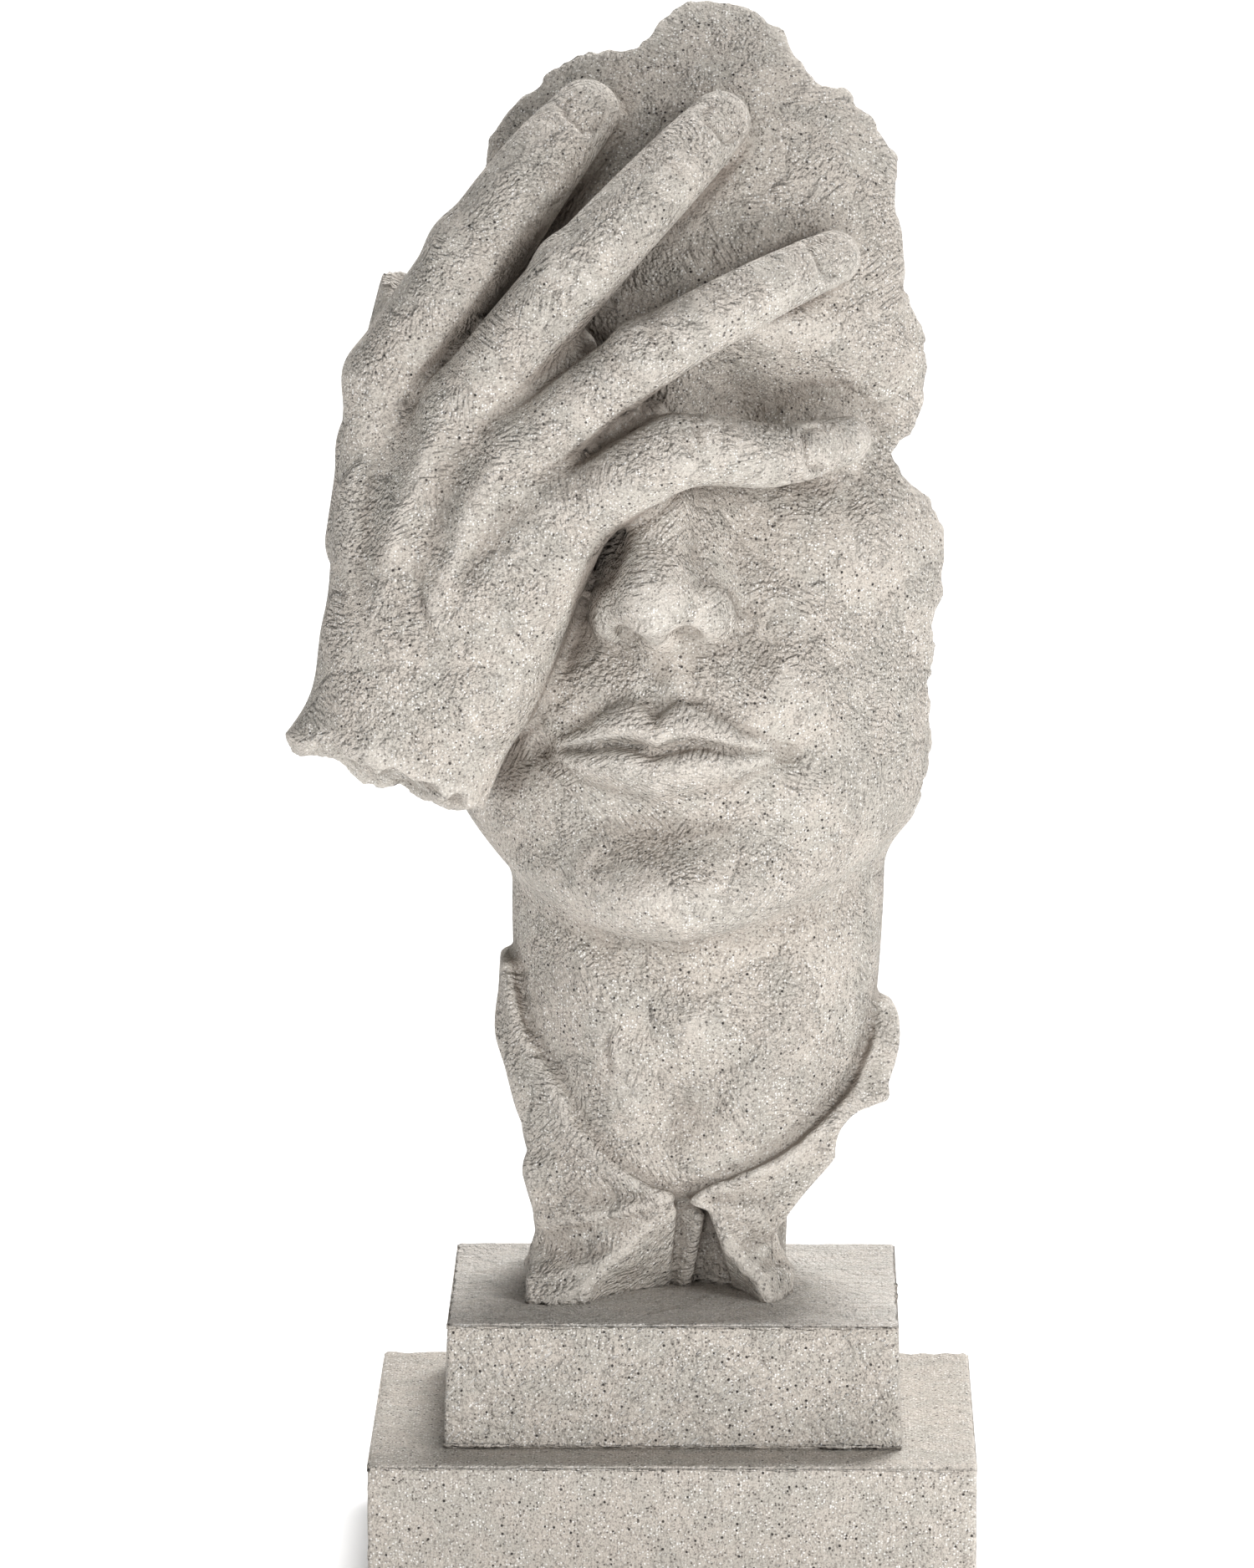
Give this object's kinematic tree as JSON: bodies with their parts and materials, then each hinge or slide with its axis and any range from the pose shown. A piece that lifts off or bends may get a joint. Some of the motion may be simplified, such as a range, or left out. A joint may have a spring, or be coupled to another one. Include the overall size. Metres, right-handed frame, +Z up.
{
  "type": "face sculpture",
  "caption": "Desk sculpture of a broken stone mask with a hand over its eyes, on a collared neck and a stepped rectangular plinth.",
  "frame": {"origin": "centre of the plinth's underside", "axes": "+Z up, -Y towards the viewer that the face looks at, +X to that viewer's right"},
  "size_m": [0.1485, 0.111, 0.3401],
  "materials": {
    "figure_stone": "matt stone-filled resin that looks like pale speckled sandstone, with fine tool strokes",
    "upper_block_stone": "matt stone-filled resin, speckled, with a brushed top and a few scratches",
    "lower_block_stone": "matt stone-filled resin, evenly speckled and smooth"
  },
  "bodies": {
    "root": {"figure": "figure_stone", "plinth_upper_block": "upper_block_stone", "plinth_lower_block": "lower_block_stone"}
  },
  "joints": []
}
